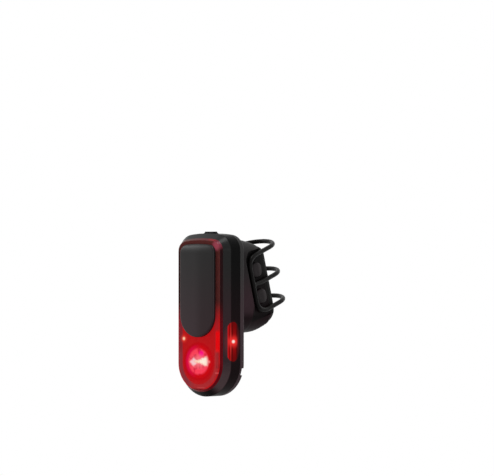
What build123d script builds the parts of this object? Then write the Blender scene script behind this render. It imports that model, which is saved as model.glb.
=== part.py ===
from build123d import *
from math import acos, atan2, cos, hypot, pi, radians, sin, sqrt
import os

# A bike rear light with radar, on a clamp mount with a rubber strap. Millimetres and degrees.
# X runs across the bike, Y from the rear of the bike to its front, Z up.
# The origin is on the axis of the clamp's bore, level with the strap's middle rung.

# Bore of the clamp: its diameter and how far it leans back from upright
post_diameter = 27.2
post_lean = 17

# Gaps
fit_gap = 0.05
slide_gap = 0.15
rest_gap = 0.3
cut_overrun = 2.0

# Where the light stands
mount_reach = 36.0
back_gap = 0.5
lamp_drop = 55.7
turn_drop = 6.0

# Outline of the light, about the lamp's centre
light_width = 42.4
light_height = 103.6
light_corner = 10.5
light_arch = 90.0

# Front housing
lens_edge_inset = 3.1
lens_rise = 2.3
facet_depth = 4.5
facet_edge_round = 0.7
housing_wall = 2.2
seat_inset = 4.6
shoulder_depth = 6.3
housing_depth = 15.6
back_edge_round = 0.3
boss_radius = 2.4
boss_web = 2.6

# Lens
lens_flat_inset = 4.4
lens_edge_round = 0.5
lens_wall = 1.8
skirt_wall = 1.0
skirt_depth = 2.2

# Radar cover
cover_inset = 7.3
cover_drop = 6.7
cover_low = 30.5
cover_corner = 4.8
cover_proud = 2.8
cover_seat = 0.6
cover_crown = 150.0
cover_round = 1.1

# Lamp: bowl, optic and diode, a little above the centre of the outline's lower end
lamp_rise = 1.2
bowl_inset = 9.2
bowl_flange = 1.0
bowl_wall = 0.9
bowl_slope = 3.8
optic_rim = 0.5
optic_rim_depth = 0.8
optic_dome = 0.5
optic_seat_depth = 4.3
optic_seat = 0.8
optic_neck = 4.2
optic_gap = 0.7
diode_width = 3.4
diode_base = 0.6
diode_dome = 1.2
diode_pocket = 0.7

# Small lights
marker_inset = 5.6
marker_height = 15.5
marker_size = 1.6
marker_depth = 0.8
side_light_height = 14.0
side_light_long = 3.0
side_light_size = 1.2

# Side windows
window_front = 4.85
window_wide = 8.05
window_tall = 25.0
window_round = 3.5
window_height = 13.9
window_root = 0.05

# Circuit boards
board_inset = 2.7
board_thickness = 1.0
board_split = 22.5
board_split_gap = 2.0
main_board_depth = 9.6
main_board_inset = 3.0
link_width = 8.0
link_tall = 2.6
link_inset = 7.2
link_rise = 8.5
radar_shield_width = 18.0
radar_shield_depth = 1.6
radar_shield_wall = 0.3
radar_shield_gap = 6.7
radar_shield_drop = 20.4

# Battery and its leads
battery_inset = 8.7
battery_drop = 16.9
battery_gap = 0.5
battery_round = 1.2
battery_low = 19.5
battery_pad_depth = 0.3
battery_pad_margin = 2.0
lead_diameter = 1.0
lead_pitch = 1.8
lead_inset = 4.5
lead_run = 2.6
plug_width = 5.0
plug_tall = 3.2
plug_depth = 3.4

# Charging port
port_inset = 7.8
port_width = 8.94
port_tall = 3.26
port_gap = 0.7
port_wall = 0.3
port_floor = 1.0
tongue_width = 6.7
tongue_tall = 0.7
tongue_short = 0.6
port_hole_width = 12.8
port_hole_tall = 7.0

# Button on the top
button_width = 9.4
button_deep = 3.0
button_round = 1.3
button_inset = 3.3
button_proud = 1.2
button_travel = 0.5
button_edge = 0.5
button_flange = 0.8
button_flange_tall = 0.8
button_stem = 1.2
button_stem_tall = 1.2
seal_wall = 0.5
seal_proud = 0.3
seal_flange = 0.9
seal_flange_tall = 0.7
seal_drop = 0.35
switch_width = 4.5
switch_tall = 3.8
switch_depth = 3.2
switch_pin = 1.0
switch_pin_tall = 0.4
switch_margin = 0.1
button_notch_width = 13.0
button_notch_margin = 0.7

# Rear cover and its seal
seam_gap = 0.25
rear_depth = 4.25
rear_wall = 2.4
rear_round = 1.2
rear_rim = 2.6
seal_inset = 0.75
seal_width = 0.9
seal_depth = 0.8

# Screws that clamp the two shells and the main board
screw_inset = 5.6
screw_drop = 13.4
screw_low = 4.0
screw_shank = 0.95
screw_head = 1.9
screw_head_tall = 1.3
screw_key = 0.75
screw_key_depth = 0.7
screw_sink = 0.4
screw_bite = 2.6
screw_hole = 1.15

# Flap over the charging port
rim_wall = 1.3
flap_gap = 0.4
flap_sink = 2.7
flap_floor = 2.2
flap_gap_front = 0.3
flap_recess = 0.2
flap_top = 2.6
flap_side_inset = 5.6
flap_lip = 0.9
flap_lip_gap = 0.4
flap_edge = 0.4
hinge_inset = 3.6
hinge_sink = 1.3
hinge_radius = 1.05
hinge_half = 6.2
hinge_pin = 0.5
hinge_pin_reach = 10.0
hinge_web = 0.6
notch_top = 3.1
notch_tall = 4.5
notch_inset = 3.6
notch_round = 1.0

# Quarter-turn coupling
turn_hub = 10.2
turn_hub_tall = 4.6
turn_hub_wall = 2.2
turn_flange = 13.0
turn_flange_depth = 1.2
turn_tab = 13.4
turn_tab_thick = 1.7
turn_tab_half = 28
turn_gap = 0.3
turn_floor_gap = 0.5
ring_radius = 16.5
ring_lip = 2.0
ring_cavity = 13.8
ring_floor = 2.0
ring_slot_half = 30
stop_from = 120
stop_to = 150
tab_screw_ring = 5.2
tab_screw_count = 3
ring_screw_ring = 6.4
ring_screw_count = 3
ring_screw_bite = 4.5

# Mount
mount_width = 36.5
mount_top = 22.5
mount_bottom = 35.6
mount_corner = 10.0
mount_arch = 90.0
mount_front_round = 1.0
mount_wing = 8.0
mount_rear_round = 3.0

# Rubber liner in the clamp
pad_thickness = 2.0
pad_end = 3.4
pad_inset = 1.4
pad_end_round = 4.5
pad_groove = 0.5
pad_groove_wide = 1.6
pad_groove_pitch = 7.0

# Strap
strap_thickness = 3.0
strap_pitch = 18.5
rail_across = 17.6
rail_ahead = 21.9
strap_corner = 8.0

# Pockets for the strap and the lugs in them
pocket_margin = 3.14
pocket_above = 1.8
pocket_below = 3.0
pocket_round = 6.0
lug_gap = 3.05
lug_shift = 0.45
lug_length = 8.0
lug_proud = 2.5
lug_corner = 3.8
lug_round = 1.3
lug_root = 0.6

# Worked out from the sizes above
half_width = light_width / 2
light_top = light_height - half_width
bowl_radius = half_width - bowl_inset
optic_radius = bowl_radius - bowl_slope
marker_across = half_width - marker_inset
rear_front = housing_depth + seam_gap
light_depth = rear_front + rear_depth
rear_inside = light_depth - rear_wall
flap_floor_depth = light_depth - flap_sink
hinge_depth = light_depth - hinge_sink
button_depth = housing_depth - button_inset
turn_height = lamp_drop - turn_drop
board_depth = shoulder_depth
board_back = board_depth + board_thickness
main_board_back = main_board_depth + board_thickness
link_low = link_inset - half_width
link_high = board_split + board_split_gap / 2 + link_rise
radar_shield_low = link_high + link_tall / 2 + radar_shield_gap
radar_shield_high = light_top - radar_shield_drop
battery_width = 2 * (half_width - battery_inset)
battery_high = light_top - battery_drop
battery_tall = battery_high - battery_low
battery_depth = rear_inside - battery_gap - main_board_back - battery_pad_depth
lead_across = battery_width / 2 - lead_inset
port_drop = half_width - port_inset
port_length = flap_floor_depth - port_gap - main_board_back
screw_across = half_width - screw_inset
screw_high = light_top - screw_drop
flap_side_low = half_width - flap_side_inset
hinge_drop = half_width - hinge_inset
notch_across = half_width - notch_inset
post_radius = post_diameter / 2
pad_radius = post_radius + pad_thickness
strap_radius = strap_thickness / 2
strap_ring = post_radius + strap_radius + fit_gap
pocket_top = strap_pitch + strap_radius + pocket_above
pocket_bottom = strap_pitch + strap_radius + pocket_below
lug_tall = strap_pitch - strap_thickness - 2 * lug_gap
lug_middle = strap_pitch / 2 - lug_shift
cap_bottom = light_top - housing_wall - seal_drop - seal_flange_tall - slide_gap

light_place = Pos(0, -mount_reach - back_gap - light_depth, -lamp_drop)
mount_face = Pos(0, -mount_reach, -turn_drop)
lean = radians(post_lean)
post_frame = Plane(origin=(0, 0, 0), x_dir=(1, 0, 0), z_dir=(0, -sin(lean), cos(lean)))


# Shapes that several pieces use

def pill(half, top, corner, arch):
    """A flat shape with a half-round lower end about the origin, and an arched top with round corners"""
    side = half - corner
    reach = sqrt((arch - corner) ** 2 - side ** 2)
    level = top - arch + reach
    tilt = atan2(side, reach)
    middle = (tilt + pi / 2) / 2
    joint = (side + corner * sin(tilt), level + corner * cos(tilt))
    bend = (side + corner * sin(middle), level + corner * cos(middle))
    return make_face([
        ThreePointArc((-half, 0), (0, -half), (half, 0)),
        Line((half, 0), (half, level)),
        ThreePointArc((half, level), bend, joint),
        ThreePointArc(joint, (0, top), (-joint[0], joint[1])),
        ThreePointArc((-joint[0], joint[1]), (-bend[0], bend[1]), (-half, level)),
        Line((-half, level), (-half, 0)),
    ])


def outline(inset):
    """The light's outline, moved inwards"""
    return pill(half_width - inset, light_top - inset, light_corner - inset, light_arch - inset)


def cover_outline(inset):
    """The radar cover's outline, moved inwards"""
    half = half_width - cover_inset - inset
    top = light_top - cover_drop - cover_low - inset
    return Pos(0, cover_low) * pill(half, top, cover_corner - inset, light_arch - inset)


def mount_outline(inset):
    """The mount's outline seen from the light, moved inwards"""
    half = mount_width / 2 - inset
    low = mount_width / 2 - mount_bottom
    flat = pill(half, mount_top - low - inset, mount_corner - inset, mount_arch - inset)
    return Pos(0, low) * flat


def slab(flat, front, back):
    """A flat shape in X and height, pulled through from one depth to another"""
    return extrude(Plane.XZ.offset(-front) * flat, amount=back - front, dir=(0, 1, 0))


def taper(flat, front, other, back):
    """A straight transition from one flat shape to another further back"""
    return loft([Plane.XZ.offset(-front) * flat, Plane.XZ.offset(-back) * other], ruled=True)


def layer(flat, low, high):
    """A flat shape in X and depth, raised from one height to another"""
    return extrude(Pos(0, 0, low) * flat, amount=high - low)


def block(x_range, y_range, z_range):
    """A box between two corners"""
    sizes = [high - low for low, high in (x_range, y_range, z_range)]
    middle = [(low + high) / 2 for low, high in (x_range, y_range, z_range)]
    return Pos(*middle) * Box(*sizes)


def disc(radius, front, back, x=0, z=0):
    """A round disc or pin along Y"""
    return slab(Pos(x, z) * Circle(radius), front, back)


def both_sides(shape):
    """A shape on the right and its mirror image on the left"""
    return shape + mirror(shape, about=Plane.YZ)


def edges_at(shape, depth):
    """The edges that lie wholly at one depth"""
    return shape.edges().filter_by_position(Axis.Y, depth - fit_gap / 2, depth + fit_gap / 2)


def outermost(edges, flat):
    """Those of the edges that follow the border of a flat shape in X and height"""
    border = [Plane.XZ * edge for edge in flat.edges()]
    found = []
    for edge in edges:
        middle = edge.position_at(1 / 2)
        probe = Vector(middle.X, 0, middle.Z)
        if min(line.distance_to(Vertex(probe)) for line in border) < fit_gap / 2:
            found.append(edge)
    return found


# Screws

def screw(x, z, head_front, reach):
    """A pan-head screw driven along minus Y, its head's underside at head_front"""
    body = disc(screw_head, head_front, head_front + screw_head_tall, x, z)
    body += disc(screw_shank, head_front - reach, head_front, x, z)
    key = Pos(x, z) * RegularPolygon(screw_key, 6)
    top = head_front + screw_head_tall
    return body - slab(key, top - screw_key_depth, top + cut_overrun)


def screw_spots():
    """The four places where screws clamp the shells"""
    return [(x, z) for x in (-screw_across, screw_across) for z in (screw_low, screw_high)]


def spots_on_ring(count, radius, first=pi / 2):
    """Places spread evenly on a circle"""
    turns = [first + 2 * pi * k / count for k in range(count)]
    return [(radius * cos(turn), radius * sin(turn)) for turn in turns]


screw_head_seat = light_depth - screw_sink - screw_head_tall


# Shells of the light

def window_slot(inset):
    """The side window's opening on the right, in depth and height, pulled through the wall"""
    wide = window_wide - 2 * inset
    tall = window_tall - 2 * inset
    flat = RectangleRounded(wide, tall, window_round - inset)
    middle = window_front + window_wide / 2
    plane = Plane(origin=(half_width - housing_wall + window_root, middle, window_height),
                  x_dir=(0, 1, 0), z_dir=(1, 0, 0))
    return extrude(plane * flat, amount=housing_wall + cut_overrun)


def housing_blank():
    """The outer form of the front housing, without hollows"""
    facet_back = lens_rise + facet_depth
    body = taper(outline(lens_edge_inset), lens_rise, outline(0), facet_back)
    body += slab(outline(0), facet_back, housing_depth)
    body = fillet(outermost(edges_at(body, facet_back), outline(0)), facet_edge_round)
    return fillet(outermost(edges_at(body, housing_depth), outline(0)), back_edge_round)


def boss_webs():
    """Bosses that carry the main board, each joined to the side wall"""
    wall_face = half_width - housing_wall + fit_gap
    webs = Part()
    for x, z in screw_spots():
        side = 1 if x > 0 else -1
        span = sorted((x, side * wall_face))
        webs += disc(boss_radius, shoulder_depth, main_board_depth, x, z)
        webs += block(span, (shoulder_depth, main_board_depth), (z - boss_web / 2, z + boss_web / 2))
    return webs


def seal_groove(margin):
    """The ring of space for the seal between the shells"""
    ring = outline(seal_inset - margin) - outline(seal_inset + seal_width + margin)
    return slab(ring, housing_depth - seal_depth - margin, housing_depth + cut_overrun)


def button_flat(margin):
    """The button's shape seen from above, grown by a margin"""
    flat = RectangleRounded(button_width + 2 * margin, button_deep + 2 * margin, button_round + margin)
    return Pos(0, button_depth) * flat


def front_housing():
    body = housing_blank()
    body -= slab(outline(seat_inset), 0, shoulder_depth)
    body -= slab(outline(housing_wall), shoulder_depth, housing_depth + cut_overrun)
    body += boss_webs()
    for x, z in screw_spots():
        body -= disc(screw_shank + fit_gap, main_board_depth - screw_bite - fit_gap, housing_depth, x, z)
    body -= seal_groove(0)
    seal_opening = seal_wall + slide_gap + fit_gap
    body -= layer(button_flat(seal_opening), light_top - 2 * housing_wall, light_top + cut_overrun)
    return body - both_sides(window_slot(0))


def side_window():
    """The red insert in the right-hand wall"""
    hollow = slab(outline(housing_wall - window_root), 0, housing_depth)
    return (housing_blank() - hollow) & window_slot(fit_gap)


def front_lens():
    body = taper(outline(lens_flat_inset), 0, outline(lens_edge_inset), lens_rise)
    body = fillet(edges_at(body, 0), lens_edge_round)
    skirt = seat_inset + fit_gap
    hollow = skirt + skirt_wall
    body += slab(outline(skirt), lens_rise, lens_rise + skirt_depth)
    body -= slab(outline(hollow), lens_wall, lens_rise + skirt_depth + cut_overrun)
    return body - slab(cover_outline(-fit_gap), -cut_overrun, cover_seat)


def radar_cover():
    body = slab(cover_outline(0), -cover_proud, cover_seat)
    middle = (light_top + cover_low) / 2
    crown = Pos(0, cover_crown - cover_proud, middle) * Cylinder(cover_crown, light_height)
    body &= crown
    front = [edge for edge in body.edges() if edge.center().Y < -fit_gap]
    return fillet(front, cover_round)


def rear_cover():
    body = slab(outline(0), rear_front, light_depth)
    body = fillet(edges_at(body, light_depth), rear_round)
    body -= slab(outline(rear_rim), rear_front - cut_overrun, rear_inside)
    floor = outline(rear_rim) & Rectangle(light_width, light_height, align=(Align.CENTER, Align.MAX))
    body += slab(floor, flap_floor_depth - flap_floor, rear_inside + fit_gap)
    for x, z in screw_spots():
        body += disc(boss_radius, main_board_back, rear_inside + fit_gap, x, z)
        body -= disc(screw_hole, main_board_back - cut_overrun, light_depth, x, z)
        body -= disc(screw_head + slide_gap, screw_head_seat, light_depth + cut_overrun, x, z)
    body -= flap_space(rim_wall, flap_top - rest_gap, flap_floor_depth, light_depth + cut_overrun)
    port = Pos(0, -port_drop) * SlotOverall(port_hole_width, port_hole_tall)
    body -= slab(port, flap_floor_depth - flap_floor - cut_overrun, light_depth)
    body -= finger_notches()
    body -= hinge_rod(hinge_pin + fit_gap, hinge_pin_reach + rest_gap)
    seat = turn_flange + fit_gap
    body -= disc(seat, light_depth - turn_flange_depth, light_depth + cut_overrun, 0, turn_height)
    for x, z in spots_on_ring(tab_screw_count, tab_screw_ring):
        body -= disc(screw_shank + fit_gap, rear_inside - cut_overrun, light_depth, x, z + turn_height)
    return body


def housing_seal():
    """Rubber ring in the groove of the front housing, touching the rear cover"""
    ring = outline(seal_inset + fit_gap) - outline(seal_inset + seal_width - fit_gap)
    return slab(ring, housing_depth - seal_depth + fit_gap, rear_front)


# Flap over the charging port

def flap_space(inset, top, front, back):
    """The part of the light's outline below a level, between two depths"""
    below = Pos(0, -top) * Rectangle(light_width, light_height, align=(Align.CENTER, Align.MAX))
    return slab(outline(inset) & below, front, back)


def finger_notches():
    """Gaps in the rim at both ends of the flap, for a fingertip"""
    flat = RectangleRounded(light_depth - flap_floor_depth + 2 * cut_overrun, notch_tall, notch_round)
    centre = (flap_floor_depth + light_depth + 2 * cut_overrun) / 2
    plane = Plane(origin=(notch_across, centre, -notch_top - notch_tall / 2), x_dir=(0, 1, 0), z_dir=(1, 0, 0))
    return both_sides(extrude(plane * flat, amount=half_width))


def hinge_rod(radius, half):
    """A rod along the flap's hinge axis"""
    return Pos(0, hinge_depth, -hinge_drop) * Rot(0, 90, 0) * Cylinder(radius, 2 * half)


def usb_door():
    front = flap_floor_depth + flap_gap_front
    back = light_depth - flap_recess
    body = flap_space(rim_wall + flap_gap, flap_top, front, back)
    below_sides = block((-half_width, half_width), (0, light_depth), (-light_height, -flap_side_low))
    middle = block((-hinge_half, hinge_half), (0, hinge_depth + hinge_web), (-hinge_drop, -flap_side_low + fit_gap))
    body = (body - below_sides) + (body & middle)
    body += hinge_rod(hinge_radius, hinge_half)
    body += hinge_rod(hinge_pin, hinge_pin_reach)
    lip = Pos(0, -port_drop) * SlotOverall(port_hole_width - 2 * flap_lip_gap, port_hole_tall - 2 * flap_lip_gap)
    body += slab(lip, front - flap_lip, front)
    grip = edges_at(body, back).filter_by_position(Axis.Z, -flap_top - fit_gap, -flap_top + fit_gap)
    return fillet(grip, flap_edge)


# Lamp and small lights

def round_about_lamp(points):
    """A piece turned about the lamp's axis from a profile of radius and depth"""
    return Pos(0, 0, lamp_rise) * revolve(make_face(Polyline(*points, close=True)), axis=Axis.Y)


bowl_front = lens_wall + rest_gap
optic_seat_radius = optic_radius - optic_seat + optic_rim
optic_bottom = board_depth - optic_gap


def led_reflector():
    seat = optic_radius + optic_rim + fit_gap
    rim_front = optic_seat_depth - optic_rim_depth
    return round_about_lamp([
        (bowl_radius, bowl_front), (bowl_radius + bowl_flange, bowl_front),
        (bowl_radius + bowl_flange, bowl_front + bowl_wall), (seat + bowl_wall, optic_seat_depth + bowl_wall),
        (seat + bowl_wall, board_depth), (optic_seat_radius, board_depth), (optic_seat_radius, optic_seat_depth),
        (seat, optic_seat_depth), (seat, rim_front),
    ])


def led_optic():
    rim = optic_radius + optic_rim
    rim_front = optic_seat_depth - optic_rim_depth
    pocket = diode_width / 2 + diode_pocket
    pocket_top = optic_bottom - diode_dome
    profile = make_face([
        ThreePointArc((0, rim_front - optic_dome), (optic_radius / 2, rim_front - 3 * optic_dome / 4),
                      (optic_radius, rim_front)),
        Polyline((optic_radius, rim_front), (rim, rim_front), (rim, optic_seat_depth),
                 (optic_seat_radius - fit_gap, optic_seat_depth), (optic_neck, optic_bottom),
                 (pocket, optic_bottom), (pocket, pocket_top), (0, pocket_top), (0, rim_front - optic_dome)),
    ])
    return Pos(0, 0, lamp_rise) * revolve(profile, axis=Axis.Y)


def main_led():
    base = slab(Rectangle(diode_width, diode_width), board_depth - diode_base, board_depth)
    dome = Pos(0, board_depth - diode_base, 0) * Sphere(diode_dome)
    front = block((-diode_width, diode_width), (0, board_depth - diode_base), (-diode_width, diode_width))
    return Pos(0, 0, lamp_rise) * (base + (dome & front))


def marker_leds():
    flat = Pos(marker_across, marker_height) * RectangleRounded(marker_size, marker_size, marker_size / 6)
    return both_sides(slab(flat, board_depth - marker_depth, board_depth))


def side_leds():
    outer = half_width - main_board_inset
    flat = Pos(outer - side_light_size / 2, side_light_height) * Rectangle(side_light_size, side_light_long)
    return both_sides(slab(flat, main_board_back, main_board_back + side_light_size))


# Boards and what is on them

def clear_of_bosses(body, front, back):
    """Notches in a board where the bosses of the housing pass"""
    clear = boss_radius + rest_gap
    for x, z in screw_spots():
        side = 1 if x > 0 else -1
        body -= disc(clear, front - cut_overrun, back + cut_overrun, x, z)
        span = sorted((x, side * half_width))
        body -= block(span, (front - cut_overrun, back + cut_overrun), (z - clear, z + clear))
    return body


def led_board():
    level = board_split - board_split_gap / 2
    low = Pos(0, level) * Rectangle(light_width, light_height, align=(Align.CENTER, Align.MAX))
    return clear_of_bosses(slab(outline(board_inset) & low, board_depth, board_back), board_depth, board_back)


def radar_board():
    level = board_split + board_split_gap / 2
    high = Pos(0, level) * Rectangle(light_width, light_height, align=(Align.CENTER, Align.MIN))
    return clear_of_bosses(slab(outline(board_inset) & high, board_depth, board_back), board_depth, board_back)


def radar_shield():
    """A thin metal can on the back of the radar board"""
    tall = radar_shield_high - radar_shield_low
    middle = (radar_shield_high + radar_shield_low) / 2
    outer = RectangleRounded(radar_shield_width, tall, 2 * radar_shield_wall)
    inner = Rectangle(radar_shield_width - 2 * radar_shield_wall, tall - 2 * radar_shield_wall)
    back = board_back + radar_shield_depth
    can = slab(Pos(0, middle) * outer, board_back, back)
    return can - slab(Pos(0, middle) * inner, board_back - cut_overrun, back - radar_shield_wall)


def main_board():
    body = slab(outline(main_board_inset), main_board_depth, main_board_back)
    for x, z in screw_spots():
        body -= disc(screw_hole, main_board_depth - cut_overrun, main_board_back + cut_overrun, x, z)
    half = button_notch_width / 2
    deep = (main_board_depth - cut_overrun, main_board_back + cut_overrun)
    return body - block((-half, half), deep, (switch_top + button_notch_margin, light_top))


def board_links():
    """Plug-together connectors between the front boards and the main board"""
    links = Part()
    for height in (link_low, link_high):
        flat = Pos(0, height) * RectangleRounded(link_width, link_tall, link_tall / 8)
        links += slab(flat, board_back, main_board_depth)
    return links


def battery():
    low = battery_low + battery_tall / 2
    front = main_board_back + battery_pad_depth
    body = slab(Pos(0, low) * Rectangle(battery_width, battery_tall), front, front + battery_depth)
    return fillet(body.edges().filter_by(Axis.Z), battery_round)


def battery_pad():
    """Double-sided foam between the battery and the main board"""
    wide = battery_width - 2 * battery_pad_margin
    tall = battery_tall - 2 * battery_pad_margin
    flat = Pos(0, battery_low + battery_tall / 2) * Rectangle(wide, tall)
    return slab(flat, main_board_back, main_board_back + battery_pad_depth)


plug_low = battery_high + lead_run


def battery_connector():
    flat = Pos(lead_across, plug_low + plug_tall / 2) * RectangleRounded(plug_width, plug_tall, plug_tall / 10)
    return slab(flat, main_board_back, main_board_back + plug_depth)


def battery_leads():
    middle = main_board_back + battery_pad_depth + battery_depth / 2
    leads = Part()
    for x in (lead_across - lead_pitch / 2, lead_across + lead_pitch / 2):
        leads += layer(Pos(x, middle) * Circle(lead_diameter / 2), battery_high, plug_low)
    return leads


def usb_port():
    shell = SlotOverall(port_width, port_tall)
    bore = SlotOverall(port_width - 2 * port_wall, port_tall - 2 * port_wall)
    back = main_board_back + port_length
    body = slab(Pos(0, -port_drop) * shell, main_board_back, back)
    body -= slab(Pos(0, -port_drop) * bore, main_board_back + port_floor, back + cut_overrun)
    tongue = Pos(0, -port_drop) * Rectangle(tongue_width, tongue_tall)
    return body + slab(tongue, main_board_back + port_floor, back - tongue_short)


# Button

stem_bottom = cap_bottom - button_flange_tall - button_stem_tall
switch_top = stem_bottom - button_travel - switch_margin - switch_pin_tall


def power_button():
    body = layer(button_flat(0), cap_bottom, light_top + button_proud)
    top = body.edges().filter_by_position(Axis.Z, light_top + button_proud - fit_gap, light_top + button_proud + fit_gap)
    body = fillet(top, button_edge)
    body += layer(button_flat(button_flange), cap_bottom - button_flange_tall, cap_bottom)
    stem = Pos(0, button_depth) * Circle(button_stem)
    return body + layer(stem, stem_bottom, cap_bottom)


def button_seal():
    """Rubber collar round the button, with a flange under the housing's top wall"""
    inner = button_flat(slide_gap)
    outer = button_flat(slide_gap + seal_wall)
    low = cap_bottom + slide_gap
    collar = layer(outer - inner, low, light_top + seal_proud)
    flange = button_flat(slide_gap + seal_wall + seal_flange) - inner
    return collar + layer(flange, low, low + seal_flange_tall)


def button_switch():
    back = main_board_back + switch_depth
    half = switch_width / 2
    body = block((-half, half), (main_board_back, back), (switch_top - switch_tall, switch_top))
    pin = Pos(0, button_depth) * Circle(switch_pin)
    return body + layer(pin, switch_top, switch_top + switch_pin_tall)


# Quarter-turn coupling, drawn about its own axis with the mount's face at depth zero

def wedge(radius, start, stop, front, back):
    """A slice of a disc, from one angle to another, measured from up towards plus X"""
    far = 2 * radius
    middle = (start + stop) / 2
    corners = [(far * sin(radians(turn)), far * cos(radians(turn))) for turn in (start, middle, stop)]
    slice_flat = make_face(Polyline((0, 0), *corners, close=True))
    return slab(Circle(radius) & slice_flat, front, back)


hub_back = turn_hub_tall - back_gap
tab_back = hub_back
ring_cavity_back = tab_back + turn_floor_gap
ring_back = ring_cavity_back + ring_floor


def quarter_turn_tabs():
    front = -back_gap - turn_flange_depth
    body = disc(turn_flange, front, -back_gap)
    body += disc(turn_hub, -back_gap, hub_back)
    for turn in (0, 180):
        body += wedge(turn_tab, turn - turn_tab_half, turn + turn_tab_half, tab_back - turn_tab_thick, tab_back)
    body -= disc(turn_hub - turn_hub_wall, tab_screw_seat, hub_back + cut_overrun)
    for x, z in spots_on_ring(tab_screw_count, tab_screw_ring):
        body -= disc(screw_hole, front - cut_overrun, hub_back, x, z)
    return body


tab_screw_seat = turn_flange_depth


def tab_screws():
    screws = Part()
    reach = tab_screw_seat + back_gap + rear_wall - fit_gap
    for x, z in spots_on_ring(tab_screw_count, tab_screw_ring):
        screws += screw(x, z, tab_screw_seat, reach)
    return screws


def socket_ring():
    """Ring whose lips hold the tabs, with slots to let them in and stops for a quarter turn"""
    space = disc(ring_cavity, ring_lip, ring_cavity_back)
    for turn in (0, 180):
        space -= wedge(ring_radius, turn + stop_from, turn + stop_to, 0, ring_back)
    space += disc(turn_hub + turn_gap, -cut_overrun, ring_cavity_back)
    for turn in (90, 270):
        space += wedge(ring_cavity, turn - ring_slot_half, turn + ring_slot_half, -cut_overrun, ring_cavity_back)
    body = disc(ring_radius, 0, ring_back) - space
    sink = screw_head + slide_gap
    for x, z in spots_on_ring(ring_screw_count, ring_screw_ring):
        body -= disc(screw_hole, 0, ring_back + cut_overrun, x, z)
        body -= disc(sink, 0, ring_cavity_back + screw_head_tall + fit_gap, x, z)
    return body


def socket_screws():
    """Screws that hold the ring in the mount, driven along plus Y"""
    screws = Part()
    for x, z in spots_on_ring(ring_screw_count, ring_screw_ring):
        screws += screw(x, z, 0, ring_screw_bite)
    return Pos(0, ring_cavity_back + screw_head_tall + fit_gap, 0) * Rot(0, 0, 180) * screws


# Strap, drawn in the bore's own frame: X across, Y ahead of the bore's axis, Z along it

rail_distance = hypot(rail_across, rail_ahead)
touch_turn = atan2(-rail_ahead, rail_across) + acos(strap_ring / rail_distance)
touch = (strap_ring * cos(touch_turn), strap_ring * sin(touch_turn))
touch_reach = sqrt(rail_distance ** 2 - strap_ring ** 2)
along = ((rail_across - touch[0]) / touch_reach, (-rail_ahead - touch[1]) / touch_reach)


def rod(edge):
    """A round cord along one edge"""
    section = Plane(origin=edge.position_at(0), z_dir=edge.tangent_at(0)) * Circle(strap_radius)
    return sweep(section, path=edge)


def strap_side(level):
    """The right half of the strap's end rung at a level, with its rounded corner down to mid-rail"""
    sign = 1 if level > 0 else -1
    bend_start = (rail_across, -rail_ahead, level - sign * strap_corner)
    bend_end = (rail_across - strap_corner * along[0], -rail_ahead - strap_corner * along[1], level)
    share = 1 - sqrt(1 / 2)
    bend_middle = (rail_across - share * strap_corner * along[0], -rail_ahead - share * strap_corner * along[1],
                   level - sign * share * strap_corner)
    return [
        Line((rail_across, -rail_ahead, 0), bend_start),
        ThreePointArc(bend_start, bend_middle, bend_end),
        Line(bend_end, (*touch, level)),
        ThreePointArc((*touch, level), half_round(level), (0, strap_ring, level)),
    ]


def half_round(level):
    """The point halfway round the bore from where a rung leaves its straight stretch"""
    turn = (touch_turn + pi / 2) / 2
    return (strap_ring * cos(turn), strap_ring * sin(turn), level)


def strap():
    edges = strap_side(strap_pitch) + strap_side(-strap_pitch)
    edges += [Line((rail_across, -rail_ahead, 0), (*touch, 0)),
              ThreePointArc((*touch, 0), half_round(0), (0, strap_ring, 0))]
    body = Part()
    for edge in edges:
        body += rod(edge)
    body += Pos(rail_across, -rail_ahead, 0) * Sphere(strap_radius)
    return post_frame * both_sides(body)


# Mount base, in the bore's frame where it goes round the bore

floor_distance = strap_ring - strap_radius - fit_gap


def pocket_plane():
    """The floor of the right-hand strap pocket: X towards the light, Y down the bore, Z outwards"""
    outward = (cos(touch_turn), sin(touch_turn), 0)
    origin = (floor_distance * outward[0], floor_distance * outward[1], 0)
    return Plane(origin=origin, x_dir=(along[0], along[1], 0), z_dir=outward)


def pocket_cut():
    """The space for the strap on the right of the mount"""
    half_long = touch_reach + pocket_margin
    tall = pocket_top + pocket_bottom
    flat = RectangleRounded(2 * half_long, tall, pocket_round)
    middle = (pocket_bottom - pocket_top) / 2
    return extrude(pocket_plane() * Pos(0, middle) * flat, amount=mount_width / 2)


def lugs():
    """Two rounded hooks behind the right-hand rail of the strap"""
    front = touch_reach - strap_radius - fit_gap
    flat = RectangleRounded(lug_length, lug_tall, lug_corner)
    pair = Part()
    for level in (-lug_middle, lug_middle):
        body = extrude(Pos(front - lug_length / 2, level, -lug_root) * flat, amount=lug_root + lug_proud)
        pair += fillet(body.edges().group_by(Axis.Z)[-1], lug_round)
    return pocket_plane() * pair


def post_cylinder(radius):
    """A cylinder round the bore's axis"""
    return Cylinder(radius, 2 * light_height)


def ahead_of(distance):
    """All space further forward than a plane that far behind the bore's axis"""
    return block((-light_height, light_height), (-distance, light_height), (-light_height, light_height))


def mount_form(inset, distance, rounding):
    """The mount's outline pulled up to a leaning plane that far behind the bore's axis, rounded there"""
    body = slab(mount_outline(inset), -mount_reach, post_diameter) - post_frame * ahead_of(distance)
    leaning = body.faces().sort_by(Axis(post_frame.origin, post_frame.y_dir))[-1]
    return fillet(leaning.edges(), rounding)


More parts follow.
